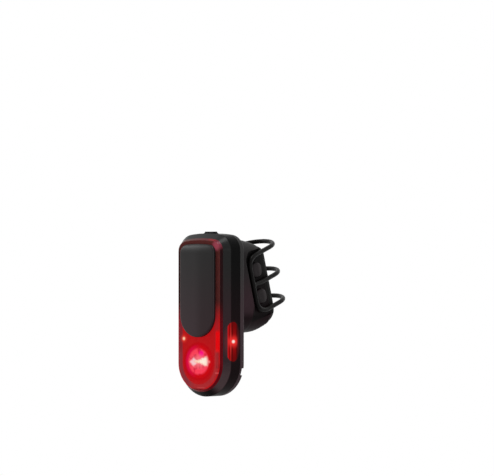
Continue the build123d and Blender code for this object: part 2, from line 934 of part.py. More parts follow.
def mount_base():
    body = mount_form(0, mount_wing, mount_rear_round)
    body = fillet(edges_at(body, -mount_reach), mount_front_round)
    body -= post_frame * post_cylinder(pad_radius + fit_gap)
    body -= post_frame * both_sides(pocket_cut())
    body += post_frame * both_sides(lugs())
    socket = disc(ring_radius + fit_gap, -cut_overrun, ring_back + fit_gap)
    for x, z in spots_on_ring(ring_screw_count, ring_screw_ring):
        spot = ring_cavity_back + screw_head_tall + ring_screw_bite + 2 * fit_gap
        socket += disc(screw_shank + fit_gap, ring_back, spot, x, z)
    return body - mount_face * socket


def post_pad():
    """Rubber liner of the bore, with grip grooves, its lips level with the pockets' floors"""
    tube = post_cylinder(pad_radius) - post_cylinder(post_radius)
    for k in range(-2, 3):
        groove = Pos(0, 0, k * pad_groove_pitch) * Cylinder(post_radius + pad_groove, pad_groove_wide)
        tube -= groove
    outside = extrude(pocket_plane() * Rectangle(light_height, light_height), amount=mount_width / 2)
    tube -= both_sides(outside)
    return (post_frame * tube) & mount_form(pad_inset, pad_end, pad_end_round)


def cover_screws():
    screws = Part()
    reach = screw_head_seat - main_board_depth + screw_bite
    for x, z in screw_spots():
        screws += screw(x, z, screw_head_seat, reach)
    return screws


def save(name, shape):
    """Write one piece, as one solid or a group of solids"""
    solids = shape.solids()
    export_step(solids[0] if len(solids) == 1 else Compound(solids), f"parts/{name}.step")


def main():
    os.makedirs("parts", exist_ok=True)
    window = side_window()
    in_light = {
        "front_housing": front_housing(), "front_lens": front_lens(), "radar_cover": radar_cover(),
        "rear_cover": rear_cover(), "housing_seal": housing_seal(), "usb_door": usb_door(),
        "led_reflector": led_reflector(), "led_optic": led_optic(), "main_led": main_led(),
        "marker_leds": marker_leds(), "side_leds": side_leds(), "side_window_right": window,
        "side_window_left": mirror(window, about=Plane.YZ), "led_board": led_board(),
        "radar_board": radar_board(), "radar_shield": radar_shield(), "main_board": main_board(),
        "board_links": board_links(), "battery": battery(), "battery_pad": battery_pad(),
        "battery_connector": battery_connector(), "battery_leads": battery_leads(), "usb_port": usb_port(),
        "power_button": power_button(), "button_seal": button_seal(), "button_switch": button_switch(),
        "cover_screws": cover_screws(),
    }
    at_coupling = {
        "quarter_turn_tabs": quarter_turn_tabs(), "tab_screws": tab_screws(),
        "socket_ring": socket_ring(), "socket_screws": socket_screws(),
    }
    on_post = {"mount_base": mount_base(), "post_pad": post_pad(), "strap": strap()}
    for name, shape in in_light.items():
        save(name, light_place * shape)
    for name, shape in at_coupling.items():
        save(name, mount_face * shape)
    for name, shape in on_post.items():
        save(name, shape)


main()
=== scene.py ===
from math import cos, pi, radians, sin

import bmesh
import bpy
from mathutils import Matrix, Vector


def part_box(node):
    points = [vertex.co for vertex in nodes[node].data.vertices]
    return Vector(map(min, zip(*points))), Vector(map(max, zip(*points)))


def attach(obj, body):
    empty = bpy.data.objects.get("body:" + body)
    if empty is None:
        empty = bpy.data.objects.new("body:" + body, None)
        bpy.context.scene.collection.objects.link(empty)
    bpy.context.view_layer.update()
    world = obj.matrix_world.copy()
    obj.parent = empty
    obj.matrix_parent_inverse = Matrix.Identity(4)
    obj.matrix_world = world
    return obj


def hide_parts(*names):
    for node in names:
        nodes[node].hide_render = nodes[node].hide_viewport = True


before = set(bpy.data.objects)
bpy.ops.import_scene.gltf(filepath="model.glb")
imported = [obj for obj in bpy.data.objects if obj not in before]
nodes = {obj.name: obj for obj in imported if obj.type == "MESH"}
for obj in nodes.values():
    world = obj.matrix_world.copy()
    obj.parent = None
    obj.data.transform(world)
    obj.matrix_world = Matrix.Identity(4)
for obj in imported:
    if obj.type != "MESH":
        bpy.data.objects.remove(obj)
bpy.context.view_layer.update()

# A bike rear light with radar, on a clamp mount with a rubber strap.
# Lengths are metres in the CAD's own frame: X across the bike, Y towards its front, Z up.
# Patterns and reshaping count in millimetres, so they divide a place by MM first.

MM = 0.001


def middle_height(node):
    low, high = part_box(node)
    return (low.z + high.z) / 2


def lamp_place(across, rise):
    """X and height of a place on the lens, from millimetres beside and above the lamp's centre"""
    return across * MM, LAMP_HEIGHT + rise * MM


# Camera, as fitted to the photograph
SENSOR_WIDTH = 36.0
LENS_LENGTH = 218.6
CAMERA_DISTANCE = 1.900
CAMERA_AZIMUTH = radians(40.04)
CAMERA_HEIGHT = 5.8 * MM
CAMERA_YAW = radians(39.116)
CAMERA_PITCH = radians(0.541)
CAMERA_REACH = 100.0

# Places of the light's pieces
LAMP_HEIGHT = middle_height("led_optic")
LENS_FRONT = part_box("front_lens")[0].y
LIGHT_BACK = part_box("rear_cover")[1].y
COVER_LOW, COVER_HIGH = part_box("radar_cover")

# How far the lamp's centre lies above the centre of the lens's lower arch, in millimetres
LAMP_RISE = 1.2

# Where the lens's upper corners start to bend
TOP_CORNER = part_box("front_lens")[1].z - 9.0 * MM

# Where the lens has the marker's glow and the corner's highlight painted on
MARKER_PLACE = lamp_place(-12.2, 14.4)
GLEAM_PLACE = lamp_place(14.4, 73.4)

# Painted small shadows in the lamp's dome, its magenta spot and a painted glint
DOME_SHADOWS = [lamp_place(*spot) for spot in ((-2.8, 3.0), (-1.8, -2.9), (3.6, -3.0), (5.4, 4.2))]
MAGENTA_PLACE = lamp_place(2.2, 5.0)
GLINT_PLACE = lamp_place(8.6, 0.0)

# The side light, in millimetres behind the lens's front and above the origin
SIDE_LIGHT_DEPTH = 8.9
SIDE_LIGHT_HEIGHT = middle_height("side_leds") / MM

# The radar cover's top edge rolls back over this height, by this depth
BROW_HEIGHT = 6.0 * MM
BROW_DEPTH = 1.5 * MM

# How far the clamp's bore leans
BORE_LEAN = radians(17)

# In millimetres: how far a strap pocket's floor is from the bore's axis, how far the pocket
# reaches along the axis, and where the painted sheen on its lugs lies ahead of the axis; and the
# floor's turn
POCKET_FLOOR = 13.6
POCKET_LEVELS = (-22.8, 21.6)
POCKET_TURN = radians(6.16)
LUG_SHEEN = 14.5

# In millimetres: how much nearer the light than in the solids the strap's rails and the pocket's
# front wall lie, and from where to where this sets in: ahead of the bore's axis on its far side
# and on the light's side, and in Y, so that the clamp's face on the light stays flat
RAIL_SHIFT = 2.2
RAIL_SETS_IN = (14.0, 20.5)
RAIL_EASES = (29.5, 25.0)
RAIL_FRONT = (-35.5, -32.0)

# In millimetres: how far the clamp's top slopes down over its depth, and over which heights
CROWN_SLOPE = -0.23
CROWN_LEVEL = 22.5
CROWN_LIFT = (-1.4, 2.0)
CROWN_HEIGHTS = (13.0, 22.5)

# In millimetres: how far the clamp's foot tips over its depth and width, and over which heights
FOOT_SLOPE = 0.1
FOOT_WIDENING = 1.22
FOOT_LEVEL = 4.5
FOOT_LIFT = (-1.5, 1.5)
FOOT_HEIGHTS = (-20.0, -35.6)

# The lamp's red glow is painted on the light's black plastic, growing from the upper height down to
# the lower
LAMP_GLOW_HEIGHTS = (-30 * MM, 10 * MM)

# Plastic from the mould: lumps per metre of its clouds, depth of its grain, unevenness of its gloss
CLOUDS = 120.0
GRAIN_DEPTH = 0.02 * MM
UNEVEN = 0.08

# Floor and lights
FLOOR_HEIGHT = -0.30
FLOOR_SIZE = 40.0
FLOOR_FADE = (0.5, 1.6)
WORLD_LEVEL = 0.5
LAMP_AIM = (0.0, -0.03, -0.03)
WHITE = (1, 1, 1, 1)


def srgb(red, green, blue):
    """A colour given from 0 to 255, in linear light"""
    parts = []
    for part in (red / 255, green / 255, blue / 255):
        parts.append(part / 12.92 if part <= 0.04045 else ((part + 0.055) / 1.055) ** 2.4)
    return (*parts, 1.0)


def toned(colour, factor):
    """A colour made darker or paler"""
    return tuple(factor * part for part in colour[:3]) + (1.0,)


class Value:
    """A number or colour that varies over a surface, as the output socket of a node"""

    def __init__(self, graph, socket):
        self.graph = graph
        self.socket = socket

    def math(self, operation, *values):
        return self.graph.node("ShaderNodeMath", {"operation": operation}, dict(enumerate(values)))

    def __add__(self, other):
        return self.math("ADD", self, other)

    def __sub__(self, other):
        return self.math("SUBTRACT", self, other)

    def __rsub__(self, other):
        return self.math("SUBTRACT", other, self)

    def __mul__(self, other):
        return self.math("MULTIPLY", self, other)

    def __truediv__(self, other):
        return self.math("DIVIDE", self, other)

    def __pow__(self, other):
        return self.math("POWER", self, other)

    __radd__ = __add__
    __rmul__ = __mul__

    def bounded(self):
        """The value kept between nought and one"""
        return self.math("MAXIMUM", self, 0.0).least(1.0)

    def ramp(self, low, high):
        """Nought at low, one at high and smooth between them"""
        settings = {"interpolation_type": "SMOOTHSTEP"}
        sockets = {"Value": self, "From Min": low, "From Max": high}
        return self.graph.node("ShaderNodeMapRange", settings, sockets, "Result")

    def band(self, low, high, soft):
        """One between two values, with soft ends"""
        half = soft / 2
        return self.ramp(low - half, low + half) * (1 - self.ramp(high - half, high + half))

    def least(self, other):
        return self.math("MINIMUM", self, other)

    def size(self):
        return self.math("ABSOLUTE", self)

    def root(self):
        return self.math("SQRT", self)


class Graph:
    """A tree of shader nodes"""

    def __init__(self, tree):
        self.tree = tree

    def node(self, kind, settings, sockets, output=0):
        """A node with its settings and socket values, as its output or, for None, as itself"""
        made = self.tree.nodes.new(kind)
        for setting, value in settings.items():
            setattr(made, setting, value)
        for socket, value in sockets.items():
            self.feed(made.inputs[socket], value)
        return made if output is None else Value(self, made.outputs[output])

    def feed(self, socket, value):
        if isinstance(value, Value):
            self.tree.links.new(value.socket, socket)
        else:
            socket.default_value = value

    def clear_rays(self):
        """One on rays from the camera, in reflections and through clear pieces, nought on others"""
        path = self.node("ShaderNodeLightPath", {}, {}, None)
        rays = ("Is Camera Ray", "Is Glossy Ray", "Is Transmission Ray")
        seen, mirrored, through = (Value(self, path.outputs[ray]) for ray in rays)
        return (seen + mirrored + through).bounded()


class Finish(Graph):
    """A material in the making, with one Principled shader"""

    def __init__(self, name, **constants):
        self.material = bpy.data.materials.new(name)
        self.material.use_nodes = True
        super().__init__(self.material.node_tree)
        self.shader = self.tree.nodes["Principled BSDF"]
        self.set(**constants)
        self.place = self.node("ShaderNodeTexCoord", {}, {}, "Object")
        parts = self.node("ShaderNodeSeparateXYZ", {}, {"Vector": self.place}, None)
        self.x, self.y, self.z = [Value(self, parts.outputs[axis]) for axis in "XYZ"]

    def set(self, **sockets):
        for socket, value in sockets.items():
            self.feed(self.shader.inputs[socket.replace("_", " ")], value)

    def mix(self, factor, first, second):
        """First colour where the factor is nought, second where it is one"""
        settings = {"data_type": "RGBA"}
        return self.node("ShaderNodeMix", settings, {"Factor": factor, 6: first, 7: second}, 2)

    def paint(self, under, *coats):
        """A colour with others laid over it, each as a pair of how much it covers and what it is"""
        for cover, colour in coats:
            under = self.mix(cover, under, colour)
        return under

    def noise(self, scale, detail=2.0, stretch=(1.0, 1.0, 1.0)):
        """Lumps from nought to one, as many in a metre as the scale says"""
        place = self.node("ShaderNodeMapping", {}, {"Vector": self.place, "Scale": stretch})
        sockets = {"Vector": place, "Scale": scale, "Detail": detail}
        return self.node("ShaderNodeTexNoise", {}, sockets, "Fac")

    def reach(self, x, z):
        """Distance in X and height from a place, all in metres"""
        across = self.x - x
        rise = self.z - z
        return (across * across + rise * rise).root()

    def spot(self, place, inner, outer):
        """One at a place on the lens, fading out between two distances in millimetres"""
        return 1 - self.reach(*place).ramp(inner * MM, outer * MM)

    def low(self):
        """How much of the lamp's painted red glow a place gets: one at the lower glow height,
        nought at the upper
        """
        return 1 - self.z.ramp(*LAMP_GLOW_HEIGHTS)

    def bump(self, height, depth, strength):
        """Small relief: a height from nought to one, times a depth in metres"""
        sockets = {"Height": height, "Distance": depth, "Strength": strength}
        self.set(Normal=self.node("ShaderNodeBump", {}, sockets))

    def mould(self, fineness):
        """The grain that a spark-eroded mould leaves"""
        fine = self.noise(fineness, 3.0)
        self.bump(fine, GRAIN_DEPTH, 0.5)
        return fine


# Finishes

def moulded_plastic(name, colour, roughness, shine, fineness, lamp_glow=None):
    """Black grained plastic; given a glow colour, it has that lower down as the lamp's painted red
    glow, but not on its back
    """
    finish = Finish(name, Specular_IOR_Level=shine)
    fine = finish.mould(fineness)
    broad = finish.noise(CLOUDS)
    black = finish.mix(broad, toned(colour, 0.8), colour)
    if lamp_glow:
        # The lamp's red glow painted on lower down, but not on the back face
        rim = 1 - finish.y.ramp(LIGHT_BACK - 1.0 * MM, LIGHT_BACK - 0.2 * MM)
        black = finish.mix(rim * finish.low(), black, lamp_glow)
    finish.set(Base_Color=black, Roughness=roughness + UNEVEN * (broad - 0.5) + 0.05 * fine)
    return finish.material


def housing_black():
    """The front housing's plastic: a dark side wall with the side light's red glow painted on, and
    a polished slant round the lens painted paler, with painted light beside the lamp and painted
    shade below it"""
    finish = Finish("housing_black", Specular_IOR_Level=0.02, Coat_Roughness=0.3,
                    Emission_Strength=0.8)
    finish.mould(4200.0)
    broad = finish.noise(CLOUDS)
    depth = (finish.y - LENS_FRONT) / MM
    across = finish.x.size() / MM
    rise = (finish.z - LAMP_HEIGHT) / MM
    # Painted red glow from the lamp, growing lower down
    low = finish.low()
    slant = 1 - depth.ramp(6.2, 7.2)
    crest = slant * finish.z.ramp(TOP_CORNER, TOP_CORNER + 5 * MM)
    # Where light is painted on the slant beside the lamp, and shade under the lamp
    beside = slant * (1 - rise.ramp(-9.0, 1.0)) * across.ramp(6.0, 14.0)
    under = (1 - rise.ramp(-19.0, -14.0)) * (1 - across.ramp(5.0, 14.0))
    # The slant painted paler than the side wall, as painted light; both redder lower down with the
    # painted glow
    wall = finish.mix(broad, srgb(4, 4, 4), srgb(8, 8, 8))
    colour = finish.paint(
        finish.mix(low, wall, srgb(19, 8, 11)),
        (slant, finish.mix(low, srgb(22, 22, 22), srgb(42, 22, 28))),
        (beside, finish.mix(broad, srgb(62, 46, 49), srgb(74, 56, 59))),
        (under, srgb(8, 3, 4)))
    gloss = 0.01 + slant * (0.09 + 0.2 * crest + 0.15 * beside) * (1 - under)
    # Painted red glow of the side light on the side wall, round the side window
    along = depth - SIDE_LIGHT_DEPTH
    climb = finish.z / MM - SIDE_LIGHT_HEIGHT
    out = (along * along + climb * climb * 0.3).root()
    spill = (1 - out.ramp(2.5, 8.0)) * across.ramp(17.0, 19.0)
    finish.set(Base_Color=colour, Roughness=0.36 + UNEVEN * (broad - 0.5), Coat_Weight=gloss,
               Emission_Color=finish.mix(spill, srgb(0, 0, 0), srgb(104, 20, 26)))
    return finish.material


def mount_black():
    """The clamp's plastic: grey with a painted highlight at the top, painted paler and redder lower
    down against the light's shade on it, nearly black with painted shade at its foot and in the
    strap's pockets, and a painted sheen on the two lugs"""
    finish = Finish("mount_black", Specular_IOR_Level=0.015)
    finish.mould(3600.0)
    broad = finish.noise(CLOUDS)
    height = finish.z / MM
    ahead = finish.y * (-cos(BORE_LEAN) / MM) - finish.z * (sin(BORE_LEAN) / MM)
    level = finish.z * (cos(BORE_LEAN) / MM) - finish.y * (sin(BORE_LEAN) / MM)
    outward = finish.x.size() * (cos(POCKET_TURN) / MM) - ahead * sin(POCKET_TURN)
    proud = outward - POCKET_FLOOR
    # Painted highlight at the top, painted light lower down against the shade, painted shade at the
    # foot
    top = height.ramp(13.0, 19.0)
    middle = 1 - height.ramp(-16.0, 6.0)
    foot = 1 - height.ramp(-28.0, -22.0)
    pocket = level.band(*POCKET_LEVELS, 1.0) * (1 - ahead.ramp(28.0, 29.0))
    # Painted shade on the pocket floors, and a painted sheen along each lug
    pocket_shade = pocket * (1 - proud.ramp(0.4, 1.8))
    lug = pocket * (1 - ahead.ramp(23.0, 25.0)) * proud.ramp(1.2, 2.0)
    sheen = lug * (1 - (ahead - LUG_SHEEN).size().ramp(0.2, 2.8))
    colour = finish.paint(
        finish.mix(broad, srgb(40, 38, 38), srgb(46, 43, 44)),
        (top, srgb(54, 53, 53)),
        (middle, finish.mix(broad, srgb(53, 39, 43), srgb(59, 43, 49))),
        (foot, srgb(25, 11, 15)),
        (pocket_shade * 0.85, srgb(7, 6, 6)),
        (lug, finish.mix(broad, srgb(42, 39, 40), srgb(48, 44, 45))),
        (sheen, srgb(60, 56, 57)))
    finish.set(Base_Color=colour, Roughness=0.36 + UNEVEN * (broad - 0.5))
    return finish.material


def satin_window():
    """The radar window's smooth charcoal: faintly cloudy, with the lamp's red glow painted on lower
    down and painted shade to the right
    """
    finish = Finish("window_satin", Specular_IOR_Level=0.2)
    cloud = finish.noise(60.0)
    # The lamp's red glow painted on lower down, and painted shade on the right-hand half
    low = 1 - finish.z.ramp(COVER_LOW.z, COVER_HIGH.z)
    right = (finish.x / MM).ramp(-2.5, 6.0)
    charcoal = finish.mix(cloud, srgb(33, 32, 32), srgb(38, 37, 37))
    open_side = finish.mix(low * 0.9, charcoal, srgb(54, 38, 43))
    shaded_side = finish.mix(low, srgb(25, 24, 24), srgb(38, 20, 25))
    finish.set(Base_Color=finish.mix(right * 0.9, open_side, shaded_side),
               Roughness=0.34 + 0.05 * cloud)
    finish.bump(finish.noise(5200.0), 0.008 * MM, 0.4)
    return finish.material


def rubber(name, colour, roughness, shine):
    """Soft black rubber with a dusty, slightly mottled skin"""
    finish = Finish(name, Specular_IOR_Level=shine)
    patch = finish.noise(260.0, 3.0)
    finish.set(Base_Color=finish.mix(patch, colour, toned(colour, 1.5)),
               Roughness=roughness + 0.12 * (patch - 0.5))
    finish.bump(finish.noise(3800.0, 3.0), 0.03 * MM, 0.4)
    return finish.material


def metal(name, colour, roughness):
    finish = Finish(name, Metallic=1.0)
    brushed = finish.noise(2200.0, 3.0)
    finish.set(Base_Color=finish.mix(brushed, toned(colour, 0.7), colour),
               Roughness=roughness + 0.15 * (brushed - 0.5))
    finish.bump(brushed, 0.01 * MM, 0.3)
    return finish.material


def plain(name, colour, roughness, shine=0.5):
    """A quiet finish for a piece inside the light"""
    finish = Finish(name, Specular_IOR_Level=shine)
    cloud = finish.noise(300.0, 3.0)
    finish.set(Base_Color=finish.mix(cloud, toned(colour, 0.7), colour),
               Roughness=roughness + 0.1 * (cloud - 0.5))
    return finish.material


def lens_red():
    """Tinted lens: brown-red where nothing lights it, with the lamp's light painted on lower down
    """
    finish = Finish("lens_red", Specular_IOR_Level=0.03, Coat_Roughness=0.12,
                    Emission_Strength=0.95)
    across = finish.x / MM
    rise = (finish.z - LAMP_HEIGHT) / MM
    bevel = ((finish.y - LENS_FRONT) / MM).ramp(0.35, 0.7)
    crest = bevel * finish.z.ramp(TOP_CORNER + 1 * MM, TOP_CORNER + 5 * MM)
    lit = 1 - rise.ramp(22.0, 40.0)
    below = (rise + LAMP_RISE).least(0.0)
    border = (across * across + below * below).root().band(13.2, 16.4, 1.2)
    # Painted shade along the lens's upper left edge
    left_edge = (0 - across).ramp(14.6, 15.8) * (1 - rise.ramp(68.0, 73.0))
    streaks = finish.noise(420.0, stretch=(1.0, 1.0, 0.12))
    patches = finish.noise(240.0)
    # Lit and unlit parts painted in different reds, with painted shade on the bevel
    colour = finish.paint(
        finish.mix(patches, srgb(80, 34, 31), srgb(94, 42, 39)),
        (left_edge * 0.75, srgb(26, 12, 12)),
        (lit, srgb(86, 6, 10)),
        (bevel, finish.mix(lit, srgb(34, 3, 7), srgb(60, 2, 7))))
    # Painted light: the lamp's glow in the lit part, and painted highlights on the unlit top
    glow = lens_glow(finish, across, rise, bevel, border, streaks, patches)
    sheen = lens_sheen(finish, across, crest, streaks)
    ring = border * lit * (1 - rise.ramp(4.0, 10.0)) * (1 - bevel)
    gloss = (1 - lit) * (0.04 + 0.1 * crest) + 0.3 * ring
    finish.set(Base_Color=colour, Roughness=0.3, Alpha=0.95, Coat_Weight=gloss,
               Emission_Color=finish.mix(lit, sheen, glow))
    return finish.material


def lens_glow(finish, across, rise, bevel, border, streaks, patches):
    """The light painted on the lens's lit part: its border, the lamp, the marker's glow, a bright
    bar and pale spots, with darker stripes and painted shade
    """
    left = (0 - across).ramp(2.0, 9.0)
    # Painted light near the right edge: a bright bar, darker stripes under it and pale spots;
    # painted shade at the lower end
    side_glow = across.band(13.9, 17.2, 0.9) * rise.band(6.4, 19.5, 3.0)
    side_glow_foot = across.band(14.6, 17.4, 0.8) * rise.band(-4.0, 6.0, 1.5)
    side_glow_spot = across.band(13.6, 17.6, 0.8) * rise.band(-7.4, -6.6, 0.5)
    end_shade = (1 - rise.ramp(-17.4, -16.8)) * (0.9 - 0.4 * across.ramp(0.0, 6.0))
    end_glow_spot = across.band(-1.0, 5.0, 2.0) * rise.band(-16.8, -16.2, 0.6)
    glow = finish.paint(
        finish.mix(patches, srgb(162, 12, 16), srgb(186, 20, 22)),
        (border * (0.3 + 0.65 * left), finish.mix(streaks, srgb(88, 26, 36), srgb(132, 46, 54))),
        (side_glow, finish.mix(streaks, srgb(208, 0, 4), srgb(236, 0, 4))),
        (side_glow_foot * streaks.ramp(0.35, 0.55), srgb(86, 0, 6)),
        (side_glow_spot, srgb(196, 70, 74)),
        (end_shade, srgb(72, 0, 8)),
        (end_glow_spot * 0.4, srgb(206, 84, 84)))
    # Painted glow round the marker, and dimmer painted light on the bevel
    marker = finish.spot(MARKER_PLACE, 0.2, 4.6)
    return finish.paint(
        lamp_paint(finish, glow, across, rise),
        (marker ** 2.0 * 0.85, srgb(236, 62, 44)),
        ((marker ** 15.0 * 1.4).bounded(), srgb(255, 214, 178)),
        (bevel, finish.mix(streaks, srgb(40, 0, 4), srgb(92, 0, 10))))


def lens_sheen(finish, across, crest, streaks):
    """Painted highlights: the soft light that the unlit top's edge and its right-hand corner catch
    """
    crest_red = crest * 0.6 * across.band(7.0, 12.8, 2.0)
    return finish.paint(
        srgb(0, 0, 0),
        (crest * 0.8, finish.mix(across.ramp(-9.0, 8.0), srgb(84, 50, 44), srgb(104, 34, 40))),
        (crest_red, finish.mix(streaks, srgb(130, 14, 22), srgb(170, 30, 38))),
        (finish.spot(GLEAM_PLACE, 1.2, 4.4), srgb(126, 50, 68)))


def lamp_paint(finish, under, across, rise):
    """The lamp painted on the lens as it shows through: a deep red bowl, a pink dome with painted
    shadows, and two white lobes of its light
    """
    reach = (across * across + rise * rise).root()
    blotches = finish.noise(330.0, 1.0).ramp(0.5, 0.62)
    flecks = finish.noise(620.0)
    ragged = flecks - 0.5
    left_side = (rise * 0.15 - across).ramp(-1.0, 9.0)
    ring = finish.mix(left_side, srgb(198, 0, 8), srgb(212, 0, 66))
    shadows = [finish.spot(place, 0.3, 1.9) * 0.75 for place in DOME_SHADOWS]
    dome = finish.paint(
        finish.mix(flecks, srgb(255, 52, 74), srgb(244, 78, 104)),
        (blotches * 0.8, srgb(206, 14, 56)),
        *((shadow, srgb(206, 10, 50)) for shadow in shadows),
        (finish.spot(MAGENTA_PLACE, 0.8, 2.8), srgb(252, 0, 136)))
    right_open = 0.36 * (across + 1.8) - (rise - 0.2).size()
    right = (right_open + 2.0 * ragged).ramp(-0.9, 0.9) * (1 - reach.ramp(5.6, 8.8))
    left_open = 0.8 * (-0.6 - across).least(across + 7.4) - (rise + 0.3).size()
    left = (left_open + 2.2 * ragged).ramp(-0.9, 1.3)
    waist = 1 - (across * across * 0.10 + rise * rise * 1.3).root().ramp(0.6, 1.8)
    bloom = 1 - (across * across * 0.45 + rise * rise * 1.1).root().ramp(1.0, 6.5)
    return finish.paint(
        under,
        (1 - reach.ramp(11.6, 12.8), srgb(178, 0, 10)),
        (1 - reach.ramp(9.2, 11.6), ring),
        (1 - reach.ramp(7.2, 9.2), dome),
        (bloom * 0.55, srgb(255, 150, 160)),
        (left * 0.85, srgb(246, 224, 226)),
        (waist * 0.7, srgb(255, 190, 150)),
        (right, finish.mix(flecks, srgb(255, 236, 196), srgb(255, 255, 250))),
        (finish.spot(GLINT_PLACE, 0.2, 1.4) * 0.7, srgb(255, 150, 150)))


def bowl_red():
    """The bowl round the lamp: bright red plastic, with the lamp's light painted on as a glow from
    its middle
    """
    finish = Finish("bowl_red", Specular_IOR_Level=0.5, Coat_Weight=0.4, Coat_Roughness=0.1,
                    Emission_Strength=0.85)
    middle = finish.spot(lamp_place(0.0, 0.0), 8.0, 13.0)
    light = finish.mix(middle, srgb(190, 0, 16), srgb(255, 20, 60))
    finish.set(Base_Color=srgb(150, 8, 14), Roughness=0.2, Emission_Color=light)
    return finish.material


def optic_glow():
    """The lamp's optic, with the light from behind painted on as a glow, palest at its middle"""
    finish = Finish("optic_glow", Specular_IOR_Level=0.5, Coat_Weight=0.5, Coat_Roughness=0.05,
                    Emission_Strength=1.0)
    middle = finish.spot(lamp_place(0.0, 0.0), 1.0, 7.5)
    light = finish.mix(middle, srgb(235, 10, 50), srgb(255, 200, 210))
    finish.set(Base_Color=srgb(160, 20, 40), Roughness=0.12, Emission_Color=light)
    return finish.material


def window_red():
    """Side window: a red light guide with its glow painted on in upright bands, painted shade at
    its back edge and corners, and the small light behind it
    """
    finish = Finish("window_red", Specular_IOR_Level=0.015, Emission_Strength=0.95)
    depth = (finish.y - LENS_FRONT) / MM
    rise = finish.z / MM - SIDE_LIGHT_HEIGHT
    along = (depth - SIDE_LIGHT_DEPTH) * 0.7
    reach = (along * along + rise * rise).root()
    near = 1 - rise.size().ramp(2.0, 11.0)
    # Painted light in upright bands: a bright front rim, a dim band, a painted highlight along the
    # crease, the lit guide
    front_rim = 1 - depth.ramp(5.1, 5.7)
    dim_band = depth.band(5.7, 6.4, 0.3)
    line = depth.band(6.4, 6.8, 0.3) * (0.3 + 0.6 * near)
    guide = depth.band(8.3, 11.4, 0.9) * (0.15 + 0.5 * near)
    # Painted shade at the back edge and at its corners
    back_rim = depth.ramp(11.8, 12.6)
    back_corners = (rise.size() + 0.6 * (depth - 9.0)).ramp(12.6, 13.6) * depth.ramp(6.6, 7.6)
    # Painted glow round the small light behind the window
    halo = (1 - reach.ramp(0.8, 6.5)) ** 2.0
    core = 1 - reach.ramp(0.4, 1.5)
    streaks = finish.noise(500.0, stretch=(1.0, 1.0, 0.1))
    light = finish.paint(
        finish.mix(streaks, srgb(74, 0, 0), srgb(104, 0, 2)),
        (guide, srgb(168, 4, 6)),
        (front_rim, srgb(206, 16, 20)),
        (dim_band, srgb(150, 0, 0)),
        (line, srgb(244, 66, 62)),
        (back_rim * 0.75, srgb(60, 6, 10)),
        (halo * 0.9, srgb(250, 50, 48)),
        (core, srgb(255, 236, 224)),
        (back_corners, srgb(40, 4, 8)))
    finish.set(Base_Color=srgb(26, 0, 0), Roughness=0.25, Emission_Color=light)
    return finish.material


def diode_glow():
    finish = Finish("diode_glow", Specular_IOR_Level=0.5, Emission_Strength=2.0)
    finish.set(Base_Color=srgb(230, 200, 190), Roughness=0.2, Emission_Color=srgb(255, 190, 180))
    return finish.material


def board_green():
    """Circuit board: dark solder mask with faint tracks"""
    finish = Finish("board_green", Specular_IOR_Level=0.5)
    tracks = finish.node("ShaderNodeTexBrick", {"offset": 0.5}, {
        "Vector": finish.place, "Scale": 420.0, "Mortar Size": 0.03,
        "Color1": srgb(16, 30, 22), "Color2": srgb(20, 36, 26), "Mortar": srgb(34, 58, 42)})
    finish.set(Base_Color=tracks, Roughness=0.35)
    return finish.material


# Where each finish goes

def dress(finish, *names):
    for name in names:
        for slot in nodes[name].material_slots:
            slot.material = finish


def dress_nodes():
    # The rear shell is painted paler than the front housing, a painted highlight along its edge,
    # with the lamp's red glow painted on lower down
    rear_black = moulded_plastic("rear_black", srgb(47, 46, 46), roughness=0.44, shine=0.10,
                                 fineness=3800.0, lamp_glow=srgb(58, 43, 48))
    coupling_black = moulded_plastic("coupling_black", srgb(34, 33, 33), roughness=0.5, shine=0.2,
                                     fineness=3000.0)
    seal_black = rubber("seal_black", srgb(40, 40, 40), roughness=0.6, shine=0.3)
    link_black = plain("link_black", srgb(48, 48, 48), roughness=0.5)
    screw_black = metal("screw_black", srgb(88, 88, 90), roughness=0.4)
    dress(housing_black(), "front_housing")
    dress(rear_black, "rear_cover")
    dress(lens_red(), "front_lens")
    dress(window_red(), "side_window_right", "side_window_left")
    dress(bowl_red(), "led_reflector")
    dress(optic_glow(), "led_optic")
    dress(diode_glow(), "main_led", "marker_leds", "side_leds")
    dress(board_green(), "led_board", "radar_board", "main_board")
    dress(metal("shield_tin", srgb(200, 200, 200), roughness=0.3), "radar_shield")
    dress(metal("port_steel", srgb(204, 204, 202), roughness=0.28), "usb_port")
    dress(screw_black, "cover_screws", "tab_screws", "socket_screws")
    dress(link_black, "board_links", "battery_connector", "button_switch")
    dress(plain("pouch_foil", srgb(196, 198, 202), roughness=0.35), "battery")
    dress(plain("foam_grey", srgb(80, 80, 80), roughness=0.9, shine=0.2), "battery_pad")
    dress(plain("lead_red", srgb(150, 20, 20), roughness=0.45), "battery_leads")
    dress(coupling_black, "quarter_turn_tabs", "socket_ring")
    dress(seal_black, "housing_seal")


# Pieces remade from their solids, with softened edges

def softened(node, body, finish, voxel, rounds):
    """A piece in the place of its CAD solid, its edges and joints rounded as a mould leaves them"""
    mesh = nodes[node].data.copy()
    mesh.name = node + "_soft"
    work = bmesh.new()
    work.from_mesh(mesh)
    bmesh.ops.remove_doubles(work, verts=work.verts, dist=0.002 * MM)
    work.to_mesh(mesh)
    work.free()
    piece = bpy.data.objects.new(node + "_soft", mesh)
    bpy.context.scene.collection.objects.link(piece)
    fuse = piece.modifiers.new("Fuse", "REMESH")
    fuse.mode = "VOXEL"
    fuse.voxel_size = voxel
    fuse.use_smooth_shade = True
    ease = piece.modifiers.new("Ease", "SMOOTH")
    ease.factor = 0.5
    ease.iterations = rounds
    mesh.materials.clear()
    mesh.materials.append(finish)
    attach(piece, body)
    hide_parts(node)
    return piece


